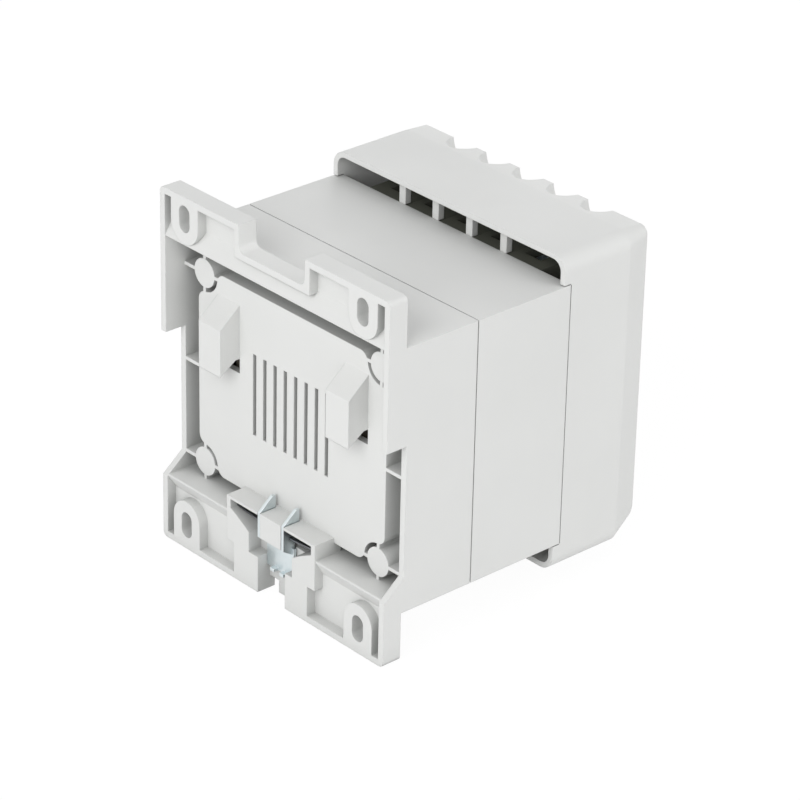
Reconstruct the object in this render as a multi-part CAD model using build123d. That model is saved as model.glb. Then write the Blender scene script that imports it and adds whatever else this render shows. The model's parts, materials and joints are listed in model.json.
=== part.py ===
from build123d import *
import math
import os

# DIN rail transformer: a laminated core and a split bobbin in a moulded housing of three shells,
# with two rows of screw terminals under hoods and a sprung steel catch for a 35 mm rail.
# X runs to the right as seen from the front, Y runs from the front towards the wall, Z is up.
# The origin is the middle of the rail, on the plane that the rail's flanges bear on.

# Rail and its seat
rail_width = 35.0
rail_thickness = 1.0
rail_clearance = 0.1
seat_depth = 6.6
rail_play = 0.4
rail_edge_gap = 0.2
notch_below_rail = 1.6
notch_above_rail = 1.4
notch_ramp = 5.4

# Housing, which closes round the core and its coil
base_to_rail = 29.3
wall = 2.3
core_gap = 0.7
rear_length = 29.8
parting_groove = 0.35

# Fixing ears above and below the body
fixing_margin = 3.0
ear_thickness = 5.9
ear_recess = 2.9
ear_ramp = 4.6
web_edge_above_body = 0.5
ledge_above_base = 5.3
rim_side = 1.9
rim_end = 1.9
ear_corner = 1.5
fixing_span_x = 70.0
fixing_span_z = 90.8
fixing_rise = 0.5
fixing_slot_width = 4.3
fixing_slot_length = 7.6
pad_width = 11.0
dip_width = 25.8
dip_depth = 7.6
dip_corner = 2.0

# Raised rail seat in the rear, with its hooks and vents
island_width = 74.8
island_beyond_bosses = 1.9
island_corner = 2.8
island_wall = 2.0
floor_depth = 15.0
floor_thickness = 2.0
catch_shift = -0.5
hook_width = 8.8
hook_pitch = 50.8
hook_rise = 15.8
hook_chamfer = 5.5
hook_lip_drop = 3.3
hook_slot_height = 4.3
vent_count = 8
vent_pitch = 4.12
vent_width = 1.35
vent_length = 23.8
vent_top = 21.3
rib_thickness = 1.0

# Screw bosses, placed on the holes of an 84 by 70 lamination
core_hole_span_x = 70.0
core_hole_span_z = 56.0
boss_radius = 4.1
boss_gap = 1.2
screw_radius = 1.95
screw_core_radius = 1.6
screw_clearance = 0.25
thread_gap = 0.05
head_gap = 0.3
screw_head_radius = 3.8
screw_head_height = 2.6
screw_length = 40.0
screw_slot = 1.0

# Latch guide under the rail, and the steel latch
guide_half_width = 17.9
guide_rise = 10.0
guide_depth = 9.0
guide_lip = 0.8
guide_foot_top = -3.5
guide_post_half = 8.8
guide_waist = 15.0
guide_waist_top = -3.5
mouth_half_width = 5.55
mouth_floor_edge = 1.4
chamber_half_width = 16.4
chamber_side = 2.6
chamber_floor = 1.2
chamber_low = 2.4
bowl_x = 11.4
bowl_z = 4.0
slot_play = 0.3
sheet = 0.9
leg_spacing = 9.6
leg_bottom = 2.6
leg_gap = 0.15
stop_gap = 0.05
nose_overlap = 1.8
nose_slope_run = 4.4
web_half_width = 6.0
web_bottom = -6.5
web_depth = 3.1
web_tab = 1.6
foot_tabs = (-2.8, 1.0)
foot_tab_width = 1.6
latch_travel = 4.0
leaf_rise = 6.2
leaf_thickness = 0.5
leaf_width = 1.8
leaf_drop = 1.1
leaf_gap = 0.1
leaf_depth = 2.1

# Laminated core and its coil
core_width = 84.0
core_height = 70.0
core_leg = 28.0
core_window = 14.0
core_stack = 28.0
coil_build = 11.0
coil_rear_gap = 0.4
coil_front_gap = 1.2
bobbin_wall = 1.2
bobbin_gap = 0.3
coil_corner = 3.0
winding_gap = 0.6
tape_thickness = 0.4
tape_clearance = 0.05
winding_clearance = 0.02
flange_gap = 0.1
fuse_length = 11.0
fuse_radius = 2.2

# Terminals, five above and five below
terminal_count = 5
terminal_pitch = 13.1
terminal_axis_in = 8.0
block_half_width = 33.4
block_depth = 18.0
block_rise_low = 15.6
block_inset = 0.3
cage_width = 8.4
cage_depth = 9.0
cage_height = 10.0
cage_wall = 1.1
cage_setback = 3.4
cage_clearance = 0.15
wire_way = 6.0
clamp_screw_radius = 1.75
clamp_head_radius = 3.0
clamp_head_height = 2.2
plate_thickness = 1.0
plate_height = 7.2
plate_travel_left = 2.4
tag_thickness = 0.8
tag_width = 4.0
tag_length = 13.0
lead_radius = 0.9
lead_bend = 2.4
lead_pitch = 11.0
lead_rise = 9.0
lead_end = 3.0
lead_shift = 1.0
tag_set_back = 1.0

# Front shell
front_wall = 1.8
post_radius = 5.2
post_rib = 2.0
post_clamp_thickness = 3.0
tongue_length = 4.0
tongue_thickness = 1.4
tongue_height = 12.0
tongue_rise = 19.0
tongue_gap = 0.1
lead_window_height = 5.0

# Front cover with a hood above and below
cover_wall = 1.6
cover_face = 2.0
cover_length = 28.5
hood_rise = 8.1
hood_overhang = 2.3
hood_corner = 4.5
hood_gap = 0.3
divider_thickness = 2.4
divider_length = 2.0
partition_gap = 0.2
partition_wall = 1.2
taper_length = 7.2
taper_side = 1.3
taper_top = 0.6
taper_bottom = 1.5
face_top_corner = 2.5
face_bottom_corner = 8.0
scoop_radius = 4.7
scoop_angle = 45.0
scoop_back = 4.2
scoop_reach = 3.0
access_radius = 3.2
access_wall = 1.1
access_gap = 0.4

# Planes worked out from the sizes above
body_width = core_width + 2 * (core_gap + wall)
body_height = core_height + 2 * (core_gap + wall)
rear = seat_depth
base = -base_to_rail
top = base + body_height
middle = (base + top) / 2
core_middle = middle + fixing_rise
rail_top = rail_width / 2
rail_bottom = -rail_width / 2
half_width = body_width / 2
parting = rear - rear_length
core_rear = -island_wall - coil_rear_gap - coil_build
core_front = core_rear - core_stack
cover_line = core_front - coil_build - coil_front_gap - front_wall
front = cover_line - cover_length
ear_top = middle + (fixing_span_z + fixing_slot_length) / 2 + fixing_margin
ear_bottom = middle - (fixing_span_z + fixing_slot_length) / 2 - fixing_margin
inner_half_width = half_width - wall
inner_base = base + wall
inner_top = top - wall
floor_front = rear - floor_depth - floor_thickness
island_height = core_hole_span_z + 2 * island_beyond_bosses
mouth_left = catch_shift + mouth_half_width
mouth_right = catch_shift - mouth_half_width
hood_top = top + hood_rise
hood_base = base - hood_rise
hood_rear = cover_line + hood_overhang
block_front = cover_line - block_depth
cage_rear = cover_line - cage_setback
cage_front = cage_rear - cage_depth
lead_offset = body_height / 2 - terminal_axis_in + cage_height / 2 - tag_set_back - tag_length - lead_rise
bosses = [(x, core_middle + z) for x in (-core_hole_span_x / 2, core_hole_span_x / 2)
          for z in (-core_hole_span_z / 2, core_hole_span_z / 2)]
terminals = [(i - (terminal_count - 1) / 2) * terminal_pitch for i in range(terminal_count)]


def block(x0, x1, y0, y1, z0, z1):
    """A block between two corners."""
    centre = ((x0 + x1) / 2, (y0 + y1) / 2, (z0 + z1) / 2)
    return Pos(*centre) * Box(abs(x1 - x0), abs(y1 - y0), abs(z1 - z0))


def side_profile(points, x0, x1):
    """An outline of (y, z) points, drawn out from x0 to x1."""
    face = make_face(Polyline(*[(x0, y, z) for y, z in points], close=True))
    return extrude(face, amount=x1 - x0, dir=(1, 0, 0))


def front_profile(face, y0, y1):
    """A sketch drawn in X and Z, drawn out from y0 to y1."""
    # The turned plane keeps X, and takes the sketch's Y to the part's Z.
    plane = Plane(origin=(0, y0, 0), x_dir=(1, 0, 0), z_dir=(0, -1, 0))
    return extrude(plane * face, amount=y0 - y1)


def rod(x, y0, y1, z, radius):
    """A round rod along Y."""
    return Pos(x, (y0 + y1) / 2, z) * Rot(90, 0, 0) * Cylinder(radius, abs(y1 - y0))


def save(shape, name):
    """Writes one sub-part."""
    shape.label = name
    export_step(shape, f"parts/{name}.step")
    print(f"{name}: {shape.volume:.0f} mm3, {len(shape.solids())} solids")


def fixing_slots(z):
    """The pair of slots at one height, as a sketch."""
    slot = Rot(0, 0, 90) * SlotOverall(fixing_slot_length, fixing_slot_width)
    return Sketch() + [Pos(x, z) * slot for x in (-fixing_span_x / 2, fixing_span_x / 2)]


def ear_recesses(way):
    """The hollow behind one ear, above (way = 1) or below (way = -1), clear of pads and guide."""
    web_line = (top + web_edge_above_body) if way > 0 else (base + ledge_above_base)
    rim_line = (ear_top - rim_end) if way > 0 else (ear_bottom + rim_end)
    fixing_z = core_middle + way * fixing_span_z / 2
    pad_end = fixing_z - way * (fixing_slot_length - fixing_slot_width) / 2
    hollow = Pos(0, (web_line + rim_line) / 2) * Rectangle(body_width - 2 * rim_side,
                                                          abs(rim_line - web_line))
    for x in (-fixing_span_x / 2, fixing_span_x / 2):
        hollow -= Pos(x, pad_end) * Circle(pad_width / 2)
        hollow -= Pos(x, (pad_end + rim_line) / 2) * Rectangle(pad_width, abs(rim_line - pad_end))
    if way > 0:
        rim_floor = ear_top - dip_depth - rim_end
        rim_width = dip_width + 2 * rim_end
        hollow -= Pos(0, (rim_floor + ear_top) / 2) * Rectangle(rim_width, ear_top - rim_floor)
    else:
        guide_top = base + guide_rise
        waist = base + guide_waist_top
        hollow -= Pos(0, (waist + guide_top) / 2) * Rectangle(2 * guide_half_width, guide_top - waist)
        hollow -= Pos(0, (ear_bottom + waist) / 2) * Rectangle(2 * guide_waist, waist - ear_bottom)
    slope = side_profile([(rear, web_line), (rear - ear_recess, web_line + way * ear_ramp),
                          (rear - ear_recess, rim_line), (rear, rim_line)], -half_width, half_width)
    return front_profile(hollow, rear, rear - ear_recess) & slope


def island_outline(inset):
    """The raised seat's outline with a scallop round each boss and rounded corners between them."""
    face = Pos(0, core_middle) * Rectangle(island_width - 2 * inset, island_height - 2 * inset)
    for x, z in bosses:
        face -= Pos(x, z) * Circle(boss_radius + boss_gap + inset)
    return fillet(face.vertices(), island_corner - inset)


def hook(x):
    """One fixed hook, with the pocket for the rail's upper edge."""
    pocket = rail_thickness + rail_play
    face = [(0, rail_top + hook_rise), (rear, rail_top + hook_rise - hook_chamfer),
            (rear, rail_top - hook_lip_drop), (pocket, rail_top + rail_edge_gap),
            (0, rail_top + rail_edge_gap)]
    return side_profile(face, x - hook_width / 2, x + hook_width / 2)


def latch_guide():
    """The solid block under the rail that holds the latch, before its chambers are cut."""
    upper = block(-guide_half_width, guide_half_width, rear - guide_depth, rear, inner_base - wall / 2,
                  base + guide_rise)
    lower = block(-guide_waist, guide_waist, rear - ear_thickness, rear, ear_bottom, inner_base)
    return upper + lower


def side_chamber(side, y_front):
    """The space beside one leg, with a curved floor that the leaf spring's end rests on."""
    roof = base + guide_rise - guide_lip
    corner = (side * chamber_half_width, roof - chamber_side)
    post = (side * guide_post_half, base + chamber_low)
    leg_side = side * (leg_spacing / 2 + sheet / 2 + leg_gap)
    with BuildSketch() as bowl:
        with BuildLine():
            Line((leg_side, roof), (side * chamber_half_width, roof))
            Line((side * chamber_half_width, roof), corner)
            ThreePointArc(corner, (side * bowl_x, base + bowl_z), post)
            Line(post, (side * guide_post_half, base + guide_foot_top))
            Line((side * guide_post_half, base + guide_foot_top), (leg_side, base + guide_foot_top))
            Line((leg_side, base + guide_foot_top), (leg_side, roof))
        make_face()
    return front_profile(bowl.sketch, rear, y_front)


def guide_chambers():
    """The space for the latch, its leaf spring and a screwdriver, cut in the guide."""
    slot_front = rear - web_depth - sheet - slot_play
    leg_front = rail_thickness + rail_clearance - leg_gap
    leg_out = leg_spacing / 2 + sheet / 2 + leg_gap
    leg_in = leg_spacing / 2 - sheet / 2 - leg_gap
    foot_top = base + guide_foot_top
    web_top = base + leg_bottom + stop_gap
    nose_way = base + leaf_rise - latch_travel - leg_gap
    cut = block(mouth_right, mouth_left, slot_front, rear, ear_bottom, web_top)
    for side in (-1, 1):
        cut += side_chamber(side, slot_front)
        cut += block(side * leg_in, side * leg_out, slot_front, rear, foot_top, base + guide_rise)
        cut += block(side * leg_in, side * leg_out, leg_front, rear, nose_way, base + guide_rise)
        # Above the ear the chamber is deeper, as far as a thin floor
        deep = side_chamber(side, rear - guide_depth + chamber_floor)
        cut += deep & block(-half_width, half_width, rear - guide_depth, rear, web_top, base + guide_rise)
    cut += block(mouth_floor_edge, mouth_left, rear - ear_thickness, rear, ear_bottom,
                 base + web_bottom - latch_travel)
    cut += block(-leg_out, leg_out, slot_front, rear - leaf_depth + leaf_gap, base + leg_bottom,
                 base + leaf_rise + leaf_thickness)
    return cut


def make_rear_shell():
    """The rear moulding: ears, rail seat, hooks, bosses, latch guide and the rear half of the walls."""
    outline = [(rear, ear_top), (rear - ear_thickness, ear_top), (rear - ear_thickness, top),
               (parting, top), (parting, base), (rear - ear_thickness, base),
               (rear - ear_thickness, ear_bottom), (rear, ear_bottom),
               (rear, rail_bottom - notch_below_rail - notch_ramp),
               (0, rail_bottom - notch_below_rail), (0, rail_top + notch_above_rail),
               (rear, rail_top + notch_above_rail)]
    shell = side_profile(outline, -half_width, half_width)
    corners = shell.edges().filter_by(Axis.Y).group_by(Axis.Z)
    shell = fillet(corners[0] + corners[-1], ear_corner)
    # Front hollow for the core, and the deep channel round the rail seat
    shell -= block(-inner_half_width, inner_half_width, floor_front, parting, inner_base, inner_top)
    channel = [(rear, top + web_edge_above_body), (rear - ear_thickness, inner_top),
               (rear - floor_depth, inner_top), (rear - floor_depth, base + ledge_above_base),
               (rear, base + ledge_above_base)]
    shell -= side_profile(channel, -half_width + rim_side, half_width - rim_side)
    shell -= ear_recesses(1)
    shell -= ear_recesses(-1)
    shell -= front_profile(fixing_slots(core_middle + fixing_span_z / 2), rear, rear - ear_thickness)
    shell -= front_profile(fixing_slots(core_middle - fixing_span_z / 2), rear, rear - ear_thickness)
    dip = Pos(0, ear_top - dip_depth / 2 + dip_corner) * RectangleRounded(
        dip_width, dip_depth + 2 * dip_corner, dip_corner)
    shell -= front_profile(dip, rear, rear - ear_thickness)
    # Rail seat, hollow behind
    shell += front_profile(island_outline(0), 0, floor_front)
    # Ribs tie the seat and the bosses to the walls
    half_rib = rib_thickness / 2
    for side in (-1, 1):
        shell += block(side * (island_width - island_wall) / 2, side * (half_width - rim_side / 2), 0,
                       floor_front, core_middle - half_rib, core_middle + half_rib)
    reach = boss_radius + boss_gap + rib_thickness
    for x, z in bosses:
        side = math.copysign(1, x)
        way = math.copysign(1, z - middle)
        wall_z = inner_top + wall / 2 if way > 0 else base + ledge_above_base - wall / 2
        shell += rod(x, 0, core_rear, z, boss_radius)
        shell += block(x - side * reach, side * (half_width - rim_side / 2), 0, floor_front,
                       z - half_rib, z + half_rib)
        shell += block(x - half_rib, x + half_rib, 0, floor_front, z - way * reach, wall_z)
    # The seat and the floor open towards the coil, inside the seat's wall
    shell -= front_profile(island_outline(island_wall), -island_wall, floor_front)
    for x, z in bosses:
        shell -= rod(x, core_rear, -island_wall, z, screw_core_radius + thread_gap)
    # Hooks, each over a hole that lets the mould reach its underside
    under = rail_top + rail_edge_gap
    for x in (catch_shift - hook_pitch / 2, catch_shift + hook_pitch / 2):
        shell += hook(x)
        shell -= block(x - hook_width / 2, x + hook_width / 2, -island_wall, 0, under - hook_slot_height,
                       under)
    for i in range(vent_count):
        x = (i - (vent_count - 1) / 2) * vent_pitch
        shell -= block(x - vent_width / 2, x + vent_width / 2, -island_wall, 0, vent_top - vent_length,
                       vent_top)
    shell += latch_guide()
    shell -= guide_chambers()
    return shell


def make_rail_latch():
    """The zinc-plated latch: a folded sheet with two legs, each ending in a sloped nose."""
    leg_rear = rear - leaf_gap
    web_rear = rear - web_depth
    web_front = web_rear - sheet
    nose_top = rail_bottom + nose_overlap
    nose_front = rail_thickness + rail_clearance
    leaf_top = base + leaf_rise
    leaf_bottom = leaf_top - leaf_thickness - 2 * leaf_gap
    leaf_rear = rear - leaf_depth + leaf_gap
    web_top = base + leg_bottom
    flag_bottom = base + guide_foot_top + latch_travel + leg_gap
    leg = [(leg_rear, web_top), (leg_rear, base + guide_rise), (leg_rear - nose_slope_run, nose_top),
           (nose_front, nose_top), (nose_front, leaf_top), (leaf_rear, leaf_top), (leaf_rear, leaf_bottom),
           (web_front, leaf_bottom), (web_front, flag_bottom), (web_rear, flag_bottom)]
    latch = block(-web_half_width, web_half_width, web_front, web_rear, flag_bottom, web_top)
    latch += block(mouth_right + leg_gap, mouth_left - leg_gap, web_front, web_rear, base + web_bottom,
                   web_top)
    for x in (-leg_spacing / 2, leg_spacing / 2):
        latch += side_profile(leg, x - sheet / 2, x + sheet / 2)
    # The foot is folded out towards the wall, for a screwdriver's tip
    for x in foot_tabs:
        latch += block(x - foot_tab_width / 2, x + foot_tab_width / 2, web_front, web_rear + web_tab,
                       base + web_bottom, base + web_bottom + sheet)
    return latch


def make_latch_spring():
    """The leaf spring under the latch: a bowed strip that spans both side chambers."""
    span = chamber_half_width - slot_play
    crown = base + leaf_rise - 2 * leaf_gap
    ends = crown + leaf_drop
    with BuildSketch() as strip:
        with BuildLine():
            ThreePointArc((-span, ends), (0, crown), (span, ends))
            Line((span, ends), (span, ends - leaf_thickness))
            ThreePointArc((span, ends - leaf_thickness), (0, crown - leaf_thickness),
                          (-span, ends - leaf_thickness))
            Line((-span, ends - leaf_thickness), (-span, ends))
        make_face()
    return front_profile(strip.sketch, rear - leaf_depth, rear - leaf_depth - leaf_width)


def make_front_shell():
    """The front half of the walls, closed in front, with the clamping posts for the core."""
    shell = block(-half_width, half_width, cover_line, parting, base, top)
    shell -= block(-inner_half_width, inner_half_width, cover_line + front_wall, parting, inner_base,
                   inner_top)
    # A shallow groove marks the joint between the two halves
    groove = block(-half_width, half_width, parting - parting_groove, parting, base, top)
    groove -= block(-half_width + parting_groove, half_width - parting_groove, parting - parting_groove,
                    parting, base + parting_groove, top - parting_groove)
    shell -= groove
    for x, z in bosses:
        side = math.copysign(1, x)
        shell += rod(x, cover_line, core_front, z, post_radius)
        shell += block(x, side * (half_width - wall / 2), cover_line, core_front,
                       z - post_rib / 2, z + post_rib / 2)
    for x, z in bosses:
        shell -= rod(x, cover_line, core_front, z, screw_radius + screw_clearance)
        shell -= rod(x, cover_line, core_front - post_clamp_thickness, z, screw_head_radius + head_gap)
    # Windows for the leads, behind the terminals
    window_width = (terminal_count - 1) * lead_pitch + 2 * lead_shift + 8 * lead_radius
    for way in (-1, 1):
        z = core_middle + way * lead_offset
        shell -= block(-window_width / 2, window_width / 2, cover_line, cover_line + front_wall,
                       z - lead_window_height / 2, z + lead_window_height / 2)
    # Tongues that the cover slides over
    for side in (-1, 1):
        outer = side * (half_width - cover_wall - tongue_gap)
        inner = outer - side * tongue_thickness
        for z in (middle - tongue_rise, middle + tongue_rise):
            shell += block(inner, outer, cover_line - tongue_length, cover_line, z - tongue_height / 2,
                           z + tongue_height / 2)
    return shell


def outline(width, low, high, low_corner, high_corner):
    """A rectangle in X and Z whose lower and upper corners are rounded differently."""
    face = Pos(0, (low + high) / 2) * Rectangle(width, high - low)
    face = fillet(face.vertices().group_by(Axis.Y)[0], low_corner)
    return fillet(face.vertices().group_by(Axis.Y)[-1], high_corner)


def cover_outside():
    """The cover's outer form: a rounded tube that tapers to the front face."""
    full = outline(body_width, hood_base, hood_top, hood_corner, hood_corner)
    face = outline(body_width - 2 * taper_side, hood_base + taper_bottom, hood_top - taper_top,
                   face_bottom_corner, face_top_corner)
    taper_start = front + taper_length
    straight = front_profile(full, hood_rear, taper_start)
    plane_a = Plane(origin=(0, taper_start, 0), x_dir=(1, 0, 0), z_dir=(0, -1, 0))
    plane_b = Plane(origin=(0, front, 0), x_dir=(1, 0, 0), z_dir=(0, -1, 0))
    return straight + loft([plane_a * full, plane_b * face], ruled=True)


def scoop(x, way, radius):
    """A round channel down the front edge over one terminal."""
    edge_y = front + scoop_back
    edge_z = (hood_top if way > 0 else hood_base) + way * radius
    tilt = Rot(90 + way * scoop_angle, 0, 0)
    return Pos(x, edge_y, edge_z) * tilt * Cylinder(radius, cover_length + hood_rise)


def make_front_cover():
    """The cover: hoods over both rows of terminals, dividers, screwdriver ways and scooped edges."""
    outside = cover_outside()
    inner_width = body_width - 2 * cover_wall
    hollow = front_profile(outline(inner_width, hood_base + cover_wall, hood_top - cover_wall,
                                   hood_corner - cover_wall, hood_corner - cover_wall),
                           hood_rear, front + cover_face)
    cover = outside - hollow
    cover -= block(-half_width, half_width, cover_line, hood_rear, base - hood_gap, top + hood_gap)
    # The cover's rear edge is broken where it meets the body
    line = block(-half_width, half_width, cover_line - hood_gap, cover_line, base, top)
    line -= block(-half_width + hood_gap, half_width - hood_gap, cover_line - hood_gap, cover_line,
                  base - 1, top + 1)
    cover -= line
    near_front = block(-half_width, half_width, front, front + taper_length + scoop_reach, hood_base,
                       hood_top)
    for way in (-1, 1):
        row = row_z(way)
        ceiling = (hood_top - cover_wall) if way > 0 else (hood_base + cover_wall)
        foot = top if way > 0 else base
        for i in range(terminal_count - 1):
            x = (terminals[i] + terminals[i + 1]) / 2
            cover += block(x - divider_thickness / 2, x + divider_thickness / 2,
                           cover_line - divider_length, cover_line, foot, ceiling + way * cover_wall / 2)
        for x in terminals:
            cover += scoop(x, way, scoop_radius + cover_wall) & outside & near_front
            cover += rod(x, front, block_front - access_gap, row, access_radius + access_wall)
    for way in (-1, 1):
        row = row_z(way)
        for x in terminals:
            cover -= scoop(x, way, scoop_radius)
            cover -= rod(x, front, block_front - access_gap, row, access_radius)
    return cover


def row_z(way):
    """The height of a row's screws: above for way = 1, below for way = -1."""
    return (top - terminal_axis_in) if way > 0 else (base + terminal_axis_in)


def make_terminal_block(way):
    """The black moulding of one row, with a cell for each terminal."""
    edge = (top - block_inset) if way > 0 else (base + block_inset)
    far = edge - way * block_rise_low
    ceiling = (hood_top - cover_wall - partition_gap) if way > 0 else (hood_base + cover_wall + partition_gap)
    body = block(-block_half_width, block_half_width, block_front, cover_line, edge, far)
    # Thin walls keep the wires apart under the hood
    body += block(-block_half_width, block_half_width, block_front, block_front + partition_wall, edge,
                  ceiling)
    for i in range(terminal_count - 1):
        x = (terminals[i] + terminals[i + 1]) / 2
        half = divider_thickness / 2 - partition_gap
        body += block(x - half, x + half, block_front, cover_line - divider_length - partition_gap, edge,
                      ceiling)
    z = row_z(way)
    for x in terminals:
        half = cage_width / 2 + cage_clearance
        tall = cage_height / 2 + cage_clearance
        body -= block(x - half, x + half, cage_front - cage_clearance, cage_rear + cage_clearance,
                      z - tall, z + tall)
        # Wire way from the hood down into the cage, and the solder tag's way out at the other end
        body -= block(x - wire_way / 2, x + wire_way / 2, cage_front + cage_wall, cage_rear - cage_wall, z,
                      edge)
        body -= block(x - tag_width / 2 - cage_clearance, x + tag_width / 2 + cage_clearance,
                      cage_rear, cage_rear + tag_thickness + cage_clearance, far, z + way * cage_height / 2)
        body -= rod(x, block_front, cage_front, z, clamp_head_radius + head_gap)
    return body


def make_cages(way):
    """The clamping cages of one row: folded boxes, open where the wire goes in."""
    z = row_z(way)
    group = []
    for x in terminals:
        box = block(x - cage_width / 2, x + cage_width / 2, cage_front, cage_rear, z - cage_height / 2,
                    z + cage_height / 2)
        box -= block(x - cage_width / 2 + cage_wall, x + cage_width / 2 - cage_wall,
                     cage_front + cage_wall, cage_rear - cage_wall, z - cage_height, z + cage_height)
        box -= rod(x, cage_front, cage_front + cage_wall, z, clamp_screw_radius + thread_gap)
        group.append(box)
    return Compound(children=group)


def make_clamp_screws(way):
    """The slotted clamping screws of one row."""
    z = row_z(way)
    tip = cage_rear - cage_wall - plate_travel_left - plate_thickness
    group = []
    for x in terminals:
        head_rear = cage_front - head_gap
        screw = rod(x, head_rear, tip, z, clamp_screw_radius)
        screw += rod(x, head_rear - clamp_head_height, head_rear, z, clamp_head_radius)
        screw -= block(x - clamp_head_radius, x + clamp_head_radius, head_rear - clamp_head_height,
                       head_rear - clamp_head_height / 2, z - screw_slot / 2, z + screw_slot / 2)
        group.append(screw)
    return Compound(children=group)


def make_pressure_plates(way):
    """The small plates that the screws press on the wires."""
    z = row_z(way)
    plate_front = cage_rear - cage_wall - plate_travel_left - plate_thickness
    half = cage_width / 2 - cage_wall - cage_clearance
    return Compound(children=[
        block(x - half, x + half, plate_front, plate_front + plate_thickness, z - plate_height / 2,
              z + plate_height / 2)
        for x in terminals])


def make_solder_tags(way):
    """The tinned tags behind the cages, which the leads are soldered to."""
    z = row_z(way)
    near = z + way * (cage_height / 2 - tag_set_back)
    return Compound(children=[
        block(x - tag_width / 2, x + tag_width / 2, cage_rear, cage_rear + tag_thickness, near,
              near - way * tag_length)
        for x in terminals])


def make_leads(way):
    """The insulated leads from the winding to the tags."""
    z_tag = row_z(way) + way * (cage_height / 2 - tag_set_back - tag_length)
    z_coil = core_middle + way * lead_offset
    y_coil = core_front - coil_build
    y_tag = cage_rear + tag_thickness / 2
    group = []
    for i, x in enumerate(terminals):
        x_coil = (i - (terminal_count - 1) / 2) * lead_pitch + lead_shift
        route = FilletPolyline((x_coil, y_coil, z_coil), (x_coil, y_tag, z_coil),
                               (x, y_tag, z_tag - way * lead_end), (x, y_tag, z_tag), radius=lead_bend)
        section = Plane(origin=(x_coil, y_coil, z_coil), z_dir=(0, -1, 0)) * Circle(lead_radius)
        group.append(sweep(section, path=route))
    return Compound(children=group)


def make_core_e():
    """The E laminations: a yoke below and three legs."""
    low = core_middle - core_height / 2
    body = block(-core_width / 2, core_width / 2, core_front, core_rear, low,
                 low + core_height - core_window)
    for side in (-1, 1):
        body -= block(side * core_leg / 2, side * (core_leg / 2 + core_window), core_front, core_rear,
                      low + core_window, low + core_height - core_window)
    for x, z in bosses:
        body -= rod(x, core_front, core_rear, z, screw_radius + screw_clearance)
    return body


def make_core_i():
    """The I laminations, which close the legs at the top."""
    low = core_middle - core_height / 2
    high = low + core_height
    body = block(-core_width / 2, core_width / 2, core_front, core_rear, high - core_window, high)
    for x, z in bosses:
        body -= rod(x, core_front, core_rear, z, screw_radius + screw_clearance)
    return body


def ring(half_x, half_y, hole_x, hole_y, z0, z1, corner):
    """A rounded rectangular ring round the centre leg."""
    y_middle = (core_front + core_rear) / 2
    outer = Pos(0, y_middle) * RectangleRounded(2 * half_x, 2 * half_y, corner)
    inner = Pos(0, y_middle) * Rectangle(2 * hole_x, 2 * hole_y)
    return extrude(Pos(0, 0, z0) * (outer - inner), amount=z1 - z0)


tube_half_x = core_leg / 2 + bobbin_gap
tube_half_y = core_stack / 2 + bobbin_gap
wound_half_x = core_leg / 2 + core_window - bobbin_gap
wound_half_y = core_stack / 2 + coil_build
window_low = core_middle - core_height / 2 + core_window + bobbin_gap
window_high = core_middle + core_height / 2 - core_window - bobbin_gap


def make_bobbin():
    """The two-chamber bobbin: a square tube with three flanges."""
    bobbin = ring(tube_half_x + bobbin_wall, tube_half_y + bobbin_wall, tube_half_x, tube_half_y,
                  window_low, window_high, 0.6)
    for z in (window_low, core_middle - bobbin_wall / 2, window_high - bobbin_wall):
        bobbin += ring(wound_half_x, wound_half_y, tube_half_x, tube_half_y, z, z + bobbin_wall, coil_corner)
    return bobbin


def chamber_span(way):
    """The lowest and highest point of one winding."""
    if way > 0:
        return core_middle + bobbin_wall / 2 + flange_gap, window_high - bobbin_wall - flange_gap
    return window_low + bobbin_wall + flange_gap, core_middle - bobbin_wall / 2 - flange_gap


def make_winding(way):
    """One winding, wound in its chamber of the bobbin."""
    low, high = chamber_span(way)
    cover = tape_thickness + tape_clearance
    tube = bobbin_wall + winding_clearance
    return ring(wound_half_x - winding_gap - cover, wound_half_y - cover, tube_half_x + tube,
                tube_half_y + tube, low, high, coil_corner - tape_clearance)


def make_tape(way):
    """The tape round one winding."""
    low, high = chamber_span(way)
    y_middle = (core_front + core_rear) / 2
    half_x = wound_half_x - winding_gap
    half_y = wound_half_y
    outer = Pos(0, y_middle) * RectangleRounded(2 * half_x, 2 * half_y, coil_corner + tape_thickness)
    inner = Pos(0, y_middle) * RectangleRounded(2 * (half_x - tape_thickness), 2 * (half_y - tape_thickness),
                                                coil_corner)
    return extrude(Pos(0, 0, low) * (outer - inner), amount=high - low)


def make_thermal_fuse():
    """The thermal cut-out, laid against the side of the primary winding in front of the core."""
    x = wound_half_x - winding_gap + fuse_radius
    y = core_front - fuse_radius
    z = sum(chamber_span(-1)) / 2
    return Pos(x, y, z) * Cylinder(fuse_radius, fuse_length)


def make_housing_screws():
    """The four long screws through the core's holes."""
    group = []
    for x, z in bosses:
        seat = core_front - post_clamp_thickness
        tip = seat + screw_length
        neck = core_rear - screw_clearance
        screw = rod(x, seat, neck, z, screw_radius)
        screw += rod(x, neck, tip, z, screw_core_radius)
        head = rod(x, seat - screw_head_height, seat, z, screw_head_radius)
        head -= block(x - screw_head_radius, x + screw_head_radius, seat - screw_head_height,
                      seat - screw_head_height / 2, z - screw_slot / 2, z + screw_slot / 2)
        group.append(screw + head)
    return Compound(children=group)


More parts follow.
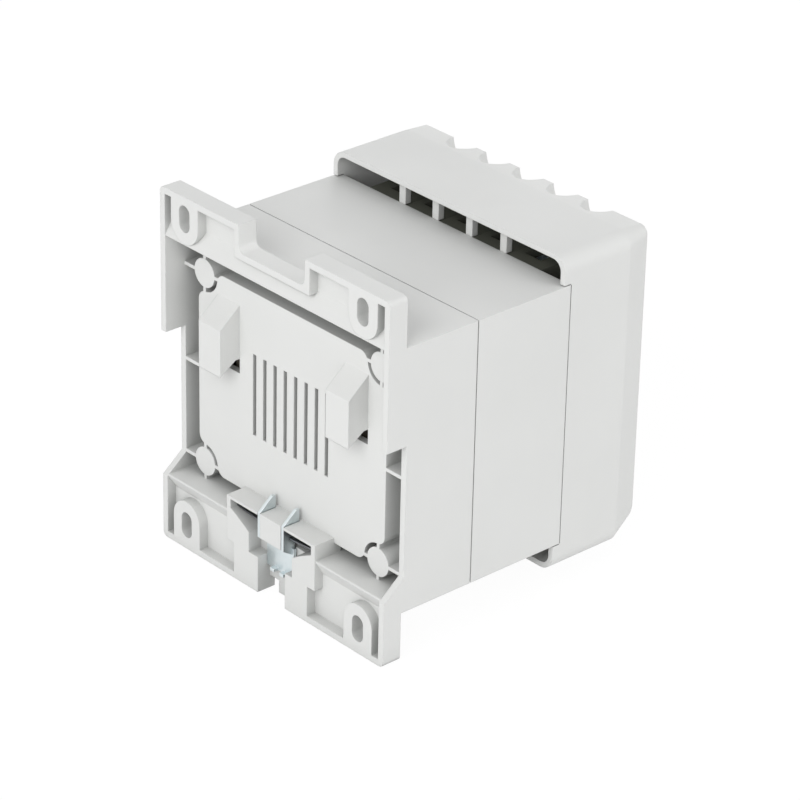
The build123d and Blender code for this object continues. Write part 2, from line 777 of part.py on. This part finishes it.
os.makedirs("parts", exist_ok=True)
save(make_rear_shell(), "rear_shell")
save(make_front_shell(), "front_shell")
save(make_front_cover(), "front_cover")
save(make_rail_latch(), "rail_latch")
save(make_latch_spring(), "latch_spring")
save(make_core_e(), "core_e_stack")
save(make_core_i(), "core_i_stack")
save(make_bobbin(), "bobbin")
save(make_thermal_fuse(), "thermal_fuse")
save(make_housing_screws(), "housing_screws")
for way, row, winding in ((1, "upper", "secondary"), (-1, "lower", "primary")):
    save(make_winding(way), f"{winding}_winding")
    save(make_tape(way), f"{winding}_tape")
    save(make_leads(way), f"{winding}_leads")
    save(make_terminal_block(way), f"{row}_terminal_block")
    save(make_cages(way), f"{row}_clamp_cages")
    save(make_clamp_screws(way), f"{row}_clamp_screws")
    save(make_pressure_plates(way), f"{row}_pressure_plates")
    save(make_solder_tags(way), f"{row}_solder_tags")
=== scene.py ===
# %% [markdown]
# A boxed transformer for a 35 mm rail, seen from behind. The moulded shells, the steel latch and
# everything inside come from the construction model as a fixed frame, so this file never moves or
# resizes them. Its work is the finish of each surface, the light, the camera and two small skins
# that close the lower corners of the cover.

# %% Load the frame
import json
import math

import bmesh
import bpy
from mathutils import Matrix, Vector


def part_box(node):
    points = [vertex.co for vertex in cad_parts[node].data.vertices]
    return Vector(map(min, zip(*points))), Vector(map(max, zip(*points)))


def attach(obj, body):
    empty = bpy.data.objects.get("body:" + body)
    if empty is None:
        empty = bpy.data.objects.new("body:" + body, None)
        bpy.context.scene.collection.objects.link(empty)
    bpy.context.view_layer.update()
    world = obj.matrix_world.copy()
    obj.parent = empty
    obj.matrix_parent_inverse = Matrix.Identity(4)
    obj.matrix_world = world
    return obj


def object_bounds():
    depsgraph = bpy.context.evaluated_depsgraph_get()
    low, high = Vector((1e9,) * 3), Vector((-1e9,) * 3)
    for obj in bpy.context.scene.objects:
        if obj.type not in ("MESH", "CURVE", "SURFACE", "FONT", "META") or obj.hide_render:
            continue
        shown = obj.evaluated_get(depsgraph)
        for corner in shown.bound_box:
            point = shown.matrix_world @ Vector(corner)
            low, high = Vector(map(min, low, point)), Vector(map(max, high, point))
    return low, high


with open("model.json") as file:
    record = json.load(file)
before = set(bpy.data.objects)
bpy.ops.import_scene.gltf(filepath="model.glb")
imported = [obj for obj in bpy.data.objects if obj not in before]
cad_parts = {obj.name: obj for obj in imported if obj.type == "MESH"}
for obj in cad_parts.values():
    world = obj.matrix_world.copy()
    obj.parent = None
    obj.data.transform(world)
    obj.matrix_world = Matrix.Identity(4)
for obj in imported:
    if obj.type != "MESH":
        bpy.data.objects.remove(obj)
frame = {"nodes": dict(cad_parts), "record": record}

cad_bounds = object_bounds()
nodes = frame["nodes"]
print("nodes:", len(nodes))

# %% [markdown]
# The camera comes first. Its place was found by matching straight edges of the object in the
# photograph, so each value is a real distance or angle. It stands behind, above and to the side,
# at a long focal length, as a product photographer would use to keep parallel edges nearly parallel.

# %% Camera
MM = 0.001
CAMERA_PLACE = Vector((-643.2, 547.0, 456.5)) * MM
CAMERA_FORWARD = Vector((0.6552, -0.5962, -0.4639)).normalized()
CAMERA_ROLL = math.radians(1.29)
CAMERA_LENS = 166.1

level_right = CAMERA_FORWARD.cross(Vector((0, 0, 1))).normalized()
level_up = level_right.cross(CAMERA_FORWARD)
camera_right = level_right * math.cos(CAMERA_ROLL) + level_up * math.sin(CAMERA_ROLL)
camera_up = camera_right.cross(CAMERA_FORWARD)
camera_data = bpy.data.cameras.new("camera")
camera_data.lens = CAMERA_LENS
camera_data.sensor_width = 36
camera = bpy.data.objects.new("camera", camera_data)
bpy.context.collection.objects.link(camera)
turn = Matrix((camera_right, camera_up, -CAMERA_FORWARD)).transposed()
camera.matrix_world = Matrix.Translation(CAMERA_PLACE) @ turn.to_4x4()
bpy.context.scene.camera = camera
print("camera at", [round(v, 3) for v in CAMERA_PLACE])

# %% [markdown]
# Shader nodes are easier to read as arithmetic. This small class wraps an output socket, so that
# a + b or 1 - mask adds the Math node for it. Every other kind of node comes from one method, which
# sets the node's own settings first and its sockets after.


# %% Shader arithmetic
class Value:
    """An output socket that can be used in Python expressions."""

    def __init__(self, tree, socket):
        self.tree = tree
        self.socket = socket

    def math(self, operation, first, second):
        return node(self.tree, "ShaderNodeMath", {"operation": operation}, {0: first, 1: second})[0]

    def __add__(self, other):
        return self.math("ADD", self, other)

    def __radd__(self, other):
        return self.math("ADD", other, self)

    def __sub__(self, other):
        return self.math("SUBTRACT", self, other)

    def __rsub__(self, other):
        return self.math("SUBTRACT", other, self)

    def __mul__(self, other):
        return self.math("MULTIPLY", self, other)

    def __rmul__(self, other):
        return self.math("MULTIPLY", other, self)


def feed(tree, socket, value):
    """Puts a number, a colour or another node's output into a socket."""
    if isinstance(value, Value):
        tree.links.new(value.socket, socket)
    elif isinstance(value, (tuple, list)) and socket.type == "RGBA" and len(value) == 3:
        socket.default_value = (*value, 1.0)
    else:
        socket.default_value = value


def node(tree, kind, settings=None, inputs=None):
    """Adds one node and returns its outputs, wrapped."""
    made = tree.nodes.new(kind)
    for name, value in (settings or {}).items():
        if name == "stops":
            ramp = made.color_ramp.elements
            for element, (place, level) in zip(ramp, value):
                element.position = place
                element.color = (level, level, level, 1)
        else:
            setattr(made, name, value)
    for name, value in (inputs or {}).items():
        feed(tree, made.inputs[name], value)
    return [Value(tree, output) for output in made.outputs]


print("shader arithmetic ready")


# %% [markdown]
# Each finish starts the same way: a Principled shader, the place on the surface in metres, and a
# short list of constants set on the shader's own sockets. Object coordinates are used instead of an
# unwrapped map, because they have the same scale on every piece and cross from face to face.


# %% Building blocks for finishes
class Finish:
    """A material under construction."""

    def __init__(self, name, **constants):
        self.material = bpy.data.materials.new(name)
        self.material.use_nodes = True
        self.tree = self.material.node_tree
        self.tree.nodes.clear()
        self.shader = self.tree.nodes.new("ShaderNodeBsdfPrincipled")
        output = self.tree.nodes.new("ShaderNodeOutputMaterial")
        self.tree.links.new(self.shader.outputs[0], output.inputs[0])
        for socket, value in constants.items():
            self.set(socket.replace("_", " "), value)
        self.place = self.node("ShaderNodeTexCoord")[3]

    def set(self, socket, value):
        feed(self.tree, self.shader.inputs[socket], value)

    def node(self, kind, settings=None, inputs=None):
        return node(self.tree, kind, settings, inputs)

    def noise(self, size, detail=2.0, roughness=0.5, stretch=None):
        """Noise whose blotches are about size metres wide, from about 0 to 1."""
        place = self.place
        if stretch:
            place = self.node("ShaderNodeVectorMath", {"operation": "MULTIPLY"}, {0: place, 1: stretch})[0]
        return self.node("ShaderNodeTexNoise", {}, {"Vector": place, "Scale": 1 / size, "Detail": detail,
                                                    "Roughness": roughness})[0]

    def ramp(self, value, low, high):
        """Stretches the range low to high over 0 to 1."""
        return self.node("ShaderNodeMapRange", {}, {"Value": value, "From Min": low, "From Max": high})[0]

    def mix(self, factor, first, second):
        """A colour between two others."""
        made = self.tree.nodes.new("ShaderNodeMix")
        made.data_type = "RGBA"
        for index, value in ((0, factor), (6, first), (7, second)):
            feed(self.tree, made.inputs[index], value)
        return Value(self.tree, made.outputs[2])

    def soft_edges(self, radius):
        """A normal that turns smoothly over every edge, as a mould's small radii do."""
        return self.node("ShaderNodeBevel", {"samples": 6}, {"Radius": radius})[0]

    def edge_mask(self, soft_normal):
        """1 on the rounded edges and 0 on flat faces."""
        true_normal = self.node("ShaderNodeNewGeometry")[1]
        dot = self.node("ShaderNodeVectorMath", {"operation": "DOT_PRODUCT"}, {0: soft_normal, 1: true_normal})[1]
        return self.ramp(1 - dot, 0.0, 0.12)

    def bump(self, height, distance, strength=1.0, normal=None):
        inputs = {"Height": height, "Distance": distance, "Strength": strength}
        if normal:
            inputs["Normal"] = normal
        self.set("Normal", self.node("ShaderNodeBump", {}, inputs)[0])


print("finish helpers ready")

# %% [markdown]
# The housing is light grey moulded plastic. Up close it has a fine spark-eroded grain, faint clouds from the way
# the melt flowed, a painted highlight that lightens the colour along every edge, and a few rubbed places. All of
# these are small, so the surface still reads as one calm colour.
# In the photograph the deep channels are darker than even light leaves them, so a mask of how open
# each place is deepens the colour there. That is shade put into the colour, not a finish of its own.

# %% Housing plastic
GREY_PLASTIC = (0.752, 0.756, 0.742)
GREY_CLOUD = (0.715, 0.72, 0.706)
GREY_EDGE_HIGHLIGHT = (0.81, 0.815, 0.805)
GREY_PAINTED_SHADE = (0.40, 0.405, 0.395)
RECESS_REACH = 0.014
GRAIN = 0.00035
GRAIN_HEIGHT = 0.00002
MOULD_EDGE = 0.0003
CLOUD_SIZE = 0.03
RUBBED_SIZE = 0.006


def housing_plastic():
    finish = Finish("housing plastic", Specular_IOR_Level=0.32)
    soft = finish.soft_edges(MOULD_EDGE)
    edges = finish.edge_mask(soft)
    clouds = finish.ramp(finish.noise(CLOUD_SIZE, detail=3), 0.35, 0.7)
    rubbed = finish.ramp(finish.noise(RUBBED_SIZE, detail=6, roughness=0.7), 0.62, 0.74)
    colour = finish.mix(clouds * 0.5, GREY_PLASTIC, GREY_CLOUD)
    # Painted highlight: the colour is lighter along the edges.
    colour = finish.mix(edges * 0.6, colour, GREY_EDGE_HIGHLIGHT)
    # Painted shade: where the occlusion mask finds a place closed in, the colour darkens towards the recess grey.
    open_sky = finish.node("ShaderNodeAmbientOcclusion", {"samples": 8}, {"Distance": RECESS_REACH})[1]
    colour = finish.mix(finish.ramp(open_sky, 0.12, 0.62), GREY_PAINTED_SHADE, colour)
    finish.set("Base Color", colour)
    finish.set("Roughness", 0.52 + 0.06 * clouds - 0.08 * rubbed)
    grain = finish.noise(GRAIN, detail=3) + 0.5 * finish.noise(3 * GRAIN)
    finish.bump(grain, GRAIN_HEIGHT, 0.35, soft)
    return finish.material


plastic = housing_plastic()
print("made", plastic.name)

# %% [markdown]
# The latch is cut and folded from zinc-plated strip. Zinc has a cool, slightly blue shine with a fine crystal
# bloom, and drawn lines from rolling the strip. A painted highlight makes the edges lighter than the faces.
# Bloom and lines stay faint, because at this size strong ones would look like speckles.

# %% Zinc-plated steel
ZINC_FACE = (0.70, 0.765, 0.785)
ZINC_BLOOM = (0.74, 0.80, 0.815)
ZINC_EDGE_HIGHLIGHT = (0.95, 0.96, 0.955)
SHEARED_EDGE = 0.00012
BLOOM_SIZE = 0.0012
ROLLED_LINE = 0.0004
ROLLED_HEIGHT = 0.000003


def zinc_steel():
    finish = Finish("zinc plated steel", Metallic=1.0)
    soft = finish.soft_edges(SHEARED_EDGE)
    edges = finish.edge_mask(soft)
    bloom = finish.ramp(finish.noise(BLOOM_SIZE, detail=5, roughness=0.65), 0.35, 0.65)
    rolled = finish.noise(ROLLED_LINE, detail=2, stretch=(1.0, 1.0, 0.06))
    # Painted highlight: the colour turns near white along the edges.
    finish.set("Base Color", finish.mix(edges, finish.mix(bloom, ZINC_FACE, ZINC_BLOOM), ZINC_EDGE_HIGHLIGHT))
    finish.set("Roughness", 0.32 + 0.04 * bloom + 0.02 * rolled)
    finish.bump(rolled, ROLLED_HEIGHT, 0.15, soft)
    return finish.material


zinc = zinc_steel()
print("made", zinc.name)

# %% [markdown]
# The spring strip is hardened and polished, then left plain. It is darker than the zinc, with long
# faint lines along the strip.

# %% Spring steel
SPRING_FACE = (0.14, 0.145, 0.155)
SPRING_LINE = (0.23, 0.235, 0.245)


def spring_steel():
    finish = Finish("spring steel", Metallic=1.0)
    lines = finish.ramp(finish.noise(0.0003, detail=2, stretch=(0.04, 1.0, 1.0)), 0.4, 0.65)
    finish.set("Base Color", finish.mix(lines, SPRING_FACE, SPRING_LINE))
    finish.set("Roughness", 0.24 + 0.1 * lines)
    finish.bump(lines, 0.000008, 0.3)
    return finish.material


spring = spring_steel()
print("made", spring.name)

# %% [markdown]
# The terminal blocks are black and glass filled, which leaves a dull, slightly speckled skin. They sit deep under
# the hoods, so their small highlights are what tells the eye that something is there. The black partitions under
# the hoods get this finish too; they stand in for the shade of the hoods' grey interior, so there the black is
# painted shade.

# %% Black terminal plastic
# Painted shade in part: this black also darkens the hood interiors, which are shaded grey plastic.
BLACK_FACE = (0.095, 0.098, 0.08)
BLACK_FIBRE = (0.13, 0.134, 0.116)


def terminal_plastic():
    finish = Finish("black terminal plastic", Specular_IOR_Level=0.5)
    soft = finish.soft_edges(0.0002)
    fibres = finish.ramp(finish.noise(0.0006, detail=4, roughness=0.7), 0.55, 0.72)
    finish.set("Base Color", finish.mix(fibres, BLACK_FACE, BLACK_FIBRE))
    finish.set("Roughness", 0.42 + 0.15 * fibres)
    finish.bump(finish.noise(0.0003, detail=3), 0.00002, 0.4, soft)
    return finish.material


black = terminal_plastic()
print("made", black.name)

# %% [markdown]
# A lamination stack is many thin sheets, and their edges show as fine lines across the stack. A wave
# along Y at the sheets' real thickness gives the lines, and noise breaks them where varnish has run.

# %% Core steel
SHEET_THICKNESS = 0.0005
CORE_DARK = (0.05, 0.05, 0.053)
CORE_LIGHT = (0.17, 0.165, 0.16)


def core_steel():
    finish = Finish("varnished core steel", Metallic=0.6)
    sheets = finish.node("ShaderNodeTexWave", {"bands_direction": "Y"},
                         {"Vector": finish.place, "Scale": 0.32 / SHEET_THICKNESS, "Distortion": 0.3})[1]
    varnish = finish.ramp(finish.noise(0.004, detail=4), 0.4, 0.7)
    finish.set("Base Color", finish.mix(sheets * (1 - 0.6 * varnish), CORE_DARK, CORE_LIGHT))
    finish.set("Roughness", 0.5 - 0.2 * varnish)
    finish.bump(sheets, 0.00005, 0.6)
    return finish.material


core = core_steel()
print("made", core.name)

# %% [markdown]
# Enamelled wire lies in even turns round the bobbin. The turns run across Z, so a wave along Z at the wire's
# thickness gives each turn its round back, and painted shade darkens the colour in the grooves.

# %% Copper winding
WIRE_THICKNESS = 0.0006
COPPER_GROOVE_SHADE = (0.16, 0.045, 0.015)
COPPER_CROWN = (0.62, 0.24, 0.09)


def copper_wire():
    finish = Finish("enamelled copper", Metallic=0.8, Coat_Weight=0.6, Coat_Roughness=0.1)
    turns = finish.node("ShaderNodeTexWave", {"bands_direction": "Z", "wave_profile": "SIN"},
                        {"Vector": finish.place, "Scale": 0.32 / WIRE_THICKNESS})[1]
    # Painted shade: the colour darkens in the grooves between turns.
    finish.set("Base Color", finish.mix(turns, COPPER_GROOVE_SHADE, COPPER_CROWN))
    finish.set("Roughness", 0.4 - 0.1 * turns)
    finish.bump(turns, 0.0001, 0.8)
    return finish.material


copper = copper_wire()
print("made", copper.name)

# %% [markdown]
# The small hidden pieces get simple finishes from one helper: two colours mixed by noise of a given size, a
# roughness that follows it, and a light bump. Each has its own colours, except that the tape's brown is darkened
# as painted shade where it shows through the slots and holes.


# %% Finishes of the hidden pieces
def mottled(name, first, second, size, roughness, metallic=0.0, coat=0.0, relief=0.00002):
    finish = Finish(name, Metallic=metallic, Coat_Weight=coat)
    blotches = finish.ramp(finish.noise(size, detail=4, roughness=0.6), 0.38, 0.66)
    finish.set("Base Color", finish.mix(blotches, first, second))
    finish.set("Roughness", roughness + 0.12 * blotches)
    finish.bump(blotches, relief, 0.5, finish.soft_edges(0.0002))
    return finish.material


nylon = mottled("natural nylon", (0.70, 0.66, 0.55), (0.62, 0.57, 0.45), 0.01, 0.4)
# Painted shade in part: the tape's own brown is darkened so that the slots and holes showing it look shaded.
tape = mottled("brown film tape with painted shade", (0.10, 0.088, 0.068), (0.075, 0.066, 0.05), 0.006, 0.25, coat=0.4)
sleeve = mottled("black sleeving", (0.03, 0.03, 0.032), (0.05, 0.05, 0.052), 0.002, 0.5)
fuse_case = mottled("fuse case", (0.035, 0.035, 0.04), (0.06, 0.06, 0.062), 0.002, 0.45)
tinned = mottled("tinned brass", (0.64, 0.62, 0.56), (0.74, 0.72, 0.68), 0.0015, 0.28, metallic=1.0)
print("made", nylon.name, tape.name, sleeve.name, fuse_case.name, tinned.name)

# %% [markdown]
# Each node of the frame names the slot of its material in the record. One table gives the finish for
# each slot, so a node that is added later gets its finish without another line here.

# %% Dress every node
SLOT_FINISH = {"grey_housing_plastic": plastic, "zinc_steel": zinc, "spring_steel": spring,
               "core_steel": core, "bobbin_nylon": nylon, "fuse_case": fuse_case, "copper_wire": copper,
               "winding_tape": tape, "lead_insulation": sleeve, "terminal_plastic": black,
               "tinned_brass": tinned}
for subpart in frame["record"]["subparts"]:
    mesh = nodes[subpart["node"]].data
    mesh.materials.clear()
    mesh.materials.append(SLOT_FINISH[subpart["material_slot"]])

# %% [markdown]
# The cover narrows towards its face, and at its two lower corners the hollow behind comes so near
# to the outside that the frame's wall has a small gap there. The real moulding is closed, so each
# corner gets a thin curved skin just under the surface. Its outer line is the cover's own: an arc
# whose radius and centre change evenly from the face to the end of the taper.

# %% Corner skins of the cover
cover_low, cover_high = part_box("front_cover")
TAPER_LENGTH = 7.2 * MM
TAPER_SIDE = 1.3 * MM
TAPER_BOTTOM = 1.5 * MM
FACE_RADIUS = 8.0 * MM
HOOD_RADIUS = 4.5 * MM
SKIN_START = 1.0 * MM
SKIN_UNDER = 0.08 * MM
SKIN_THICKNESS = 1.2 * MM
DEPTH_STEPS = 6
ARC_STEPS = 16


def skin_point(side, depth, angle, under):
    """A point of the skin: its depth behind the face, its angle on the corner's arc, its inset."""
    along = depth / TAPER_LENGTH
    radius = FACE_RADIUS + (HOOD_RADIUS - FACE_RADIUS) * along
    half_width = cover_high[0] - TAPER_SIDE * (1 - along)
    bottom = cover_low[2] + TAPER_BOTTOM * (1 - along)
    across = half_width - radius + (radius - under) * math.cos(angle)
    return (side * across, cover_low[1] + depth, bottom + radius - (radius - under) * math.sin(angle))


def corner_skin(name, side):
    mesh = bmesh.new()
    layers = []
    for under in (SKIN_UNDER, SKIN_UNDER + SKIN_THICKNESS):
        depths = [SKIN_START + (TAPER_LENGTH - SKIN_START) * i / DEPTH_STEPS for i in range(DEPTH_STEPS + 1)]
        angles = [math.pi / 2 * j / ARC_STEPS for j in range(ARC_STEPS + 1)]
        layers.append([[mesh.verts.new(skin_point(side, d, a, under)) for a in angles] for d in depths])
    for rows in layers:
        for i in range(DEPTH_STEPS):
            for j in range(ARC_STEPS):
                mesh.faces.new((rows[i][j], rows[i + 1][j], rows[i + 1][j + 1], rows[i][j + 1]))
    outer, inner = layers
    for i in range(DEPTH_STEPS):
        for j in (0, ARC_STEPS):
            mesh.faces.new((outer[i][j], outer[i + 1][j], inner[i + 1][j], inner[i][j]))
    for j in range(ARC_STEPS):
        for i in (0, DEPTH_STEPS):
            mesh.faces.new((outer[i][j], outer[i][j + 1], inner[i][j + 1], inner[i][j]))
    bmesh.ops.recalc_face_normals(mesh, faces=mesh.faces)
    data = bpy.data.meshes.new(name)
    mesh.to_mesh(data)
    mesh.free()
    data.materials.append(plastic)
    skin = bpy.data.objects.new(name, data)
    bpy.context.collection.objects.link(skin)
    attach(skin, "housing")
    return skin


skins = [corner_skin("cover_corner_left", -1), corner_skin("cover_corner_right", 1)]
print("corner skins:", [len(skin.data.polygons) for skin in skins], "faces")

# %% [markdown]
# The floor is a plain pale sheet just under the lowest edge. Where a camera ray meets it, it glows
# plain white mixed with the shadow that falls on it, so the background is white without more light
# on the object. Rays from gloss and through glass see the same white, so that metal shows it too.

# %% Floor
FLOOR_COLOUR = (0.86, 0.86, 0.86)
FLOOR_HALF = 3.0
FLOOR_GLOW = 1.03
FLOOR_GLOW_SHARE = 0.93
CAMERA_RAY, GLOSSY_RAY, TRANSMISSION_RAY = 0, 3, 6
floor_height = cad_bounds[0][2]


def sees_backdrop(tree):
    """1 for rays from the camera, from gloss and through glass, and 0 for those that carry light."""
    path = node(tree, "ShaderNodeLightPath")
    seen = path[CAMERA_RAY]
    for kind in (GLOSSY_RAY, TRANSMISSION_RAY):
        seen = node(tree, "ShaderNodeMath", {"operation": "MAXIMUM"}, {0: seen, 1: path[kind]})[0]
    return seen


def pale_floor():
    finish = Finish("pale floor", Base_Color=FLOOR_COLOUR, Roughness=0.9)
    glow = finish.node("ShaderNodeEmission", {}, {"Color": (1, 1, 1), "Strength": FLOOR_GLOW})[0]
    blend = finish.tree.nodes.new("ShaderNodeMixShader")
    feed(finish.tree, blend.inputs[0], sees_backdrop(finish.tree) * FLOOR_GLOW_SHARE)
    finish.tree.links.new(finish.shader.outputs[0], blend.inputs[1])
    finish.tree.links.new(glow.socket, blend.inputs[2])
    output = next(n for n in finish.tree.nodes if n.type == "OUTPUT_MATERIAL")
    finish.tree.links.new(blend.outputs[0], output.inputs[0])
    return finish.material


floor_mesh = bpy.data.meshes.new("floor")
corners = [(x, y, floor_height) for x, y in ((-1, -1), (1, -1), (1, 1), (-1, 1))]
corners = [(x * FLOOR_HALF, y * FLOOR_HALF, z) for x, y, z in corners]
floor_mesh.from_pydata(corners, [], [(0, 1, 2, 3)])
floor = bpy.data.objects.new("floor", floor_mesh)
bpy.context.collection.objects.link(floor)
floor_mesh.materials.append(pale_floor())
print("floor at", round(floor_height, 4))

# %% [markdown]
# The light is that of a white tent: an even world, a large soft lamp behind the camera that makes the
# rear face the brightest, a weaker one on its right, one above, and one on the far side for the front.

# %% World and lamps
WORLD_COLOUR = (0.985, 0.99, 1.0)
WORLD_LEVEL = 0.5
LAMPS = (("key", (-0.5, 1.2, 0.8), 1.0, 13.0), ("fill", (-1.35, -0.75, 0.5), 0.9, 5.3),
         ("top", (0.1, -0.4, 1.5), 0.8, 1.3), ("front", (0.9, -1.35, 0.15), 0.9, 7.5))

world = bpy.data.worlds.new("tent")
bpy.context.scene.world = world
world.use_nodes = True
world_tree = world.node_tree
world_tree.nodes.clear()
plain = node(world_tree, "ShaderNodeBackground", {}, {"Color": WORLD_COLOUR, "Strength": WORLD_LEVEL})[0]
white = node(world_tree, "ShaderNodeBackground", {}, {"Color": (1, 1, 1), "Strength": 1.0})[0]
pick = node(world_tree, "ShaderNodeMixShader", {}, {0: sees_backdrop(world_tree), 1: plain, 2: white})[0]
node(world_tree, "ShaderNodeOutputWorld", {}, {"Surface": pick})

for name, place, size, power in LAMPS:
    lamp_data = bpy.data.lights.new(name, "AREA")
    lamp_data.size = size
    lamp_data.energy = power
    lamp = bpy.data.objects.new(name, lamp_data)
    bpy.context.collection.objects.link(lamp)
    lamp.location = place
    lamp.rotation_euler = (-Vector(place)).to_track_quat("-Z", "Y").to_euler()
bpy.context.scene.view_settings.view_transform = "Standard"
print("lamps:", [lamp[0] for lamp in LAMPS])

# %% [markdown]
# The last cell closes the script with a short message.

# %% Finish
print("scene finished")
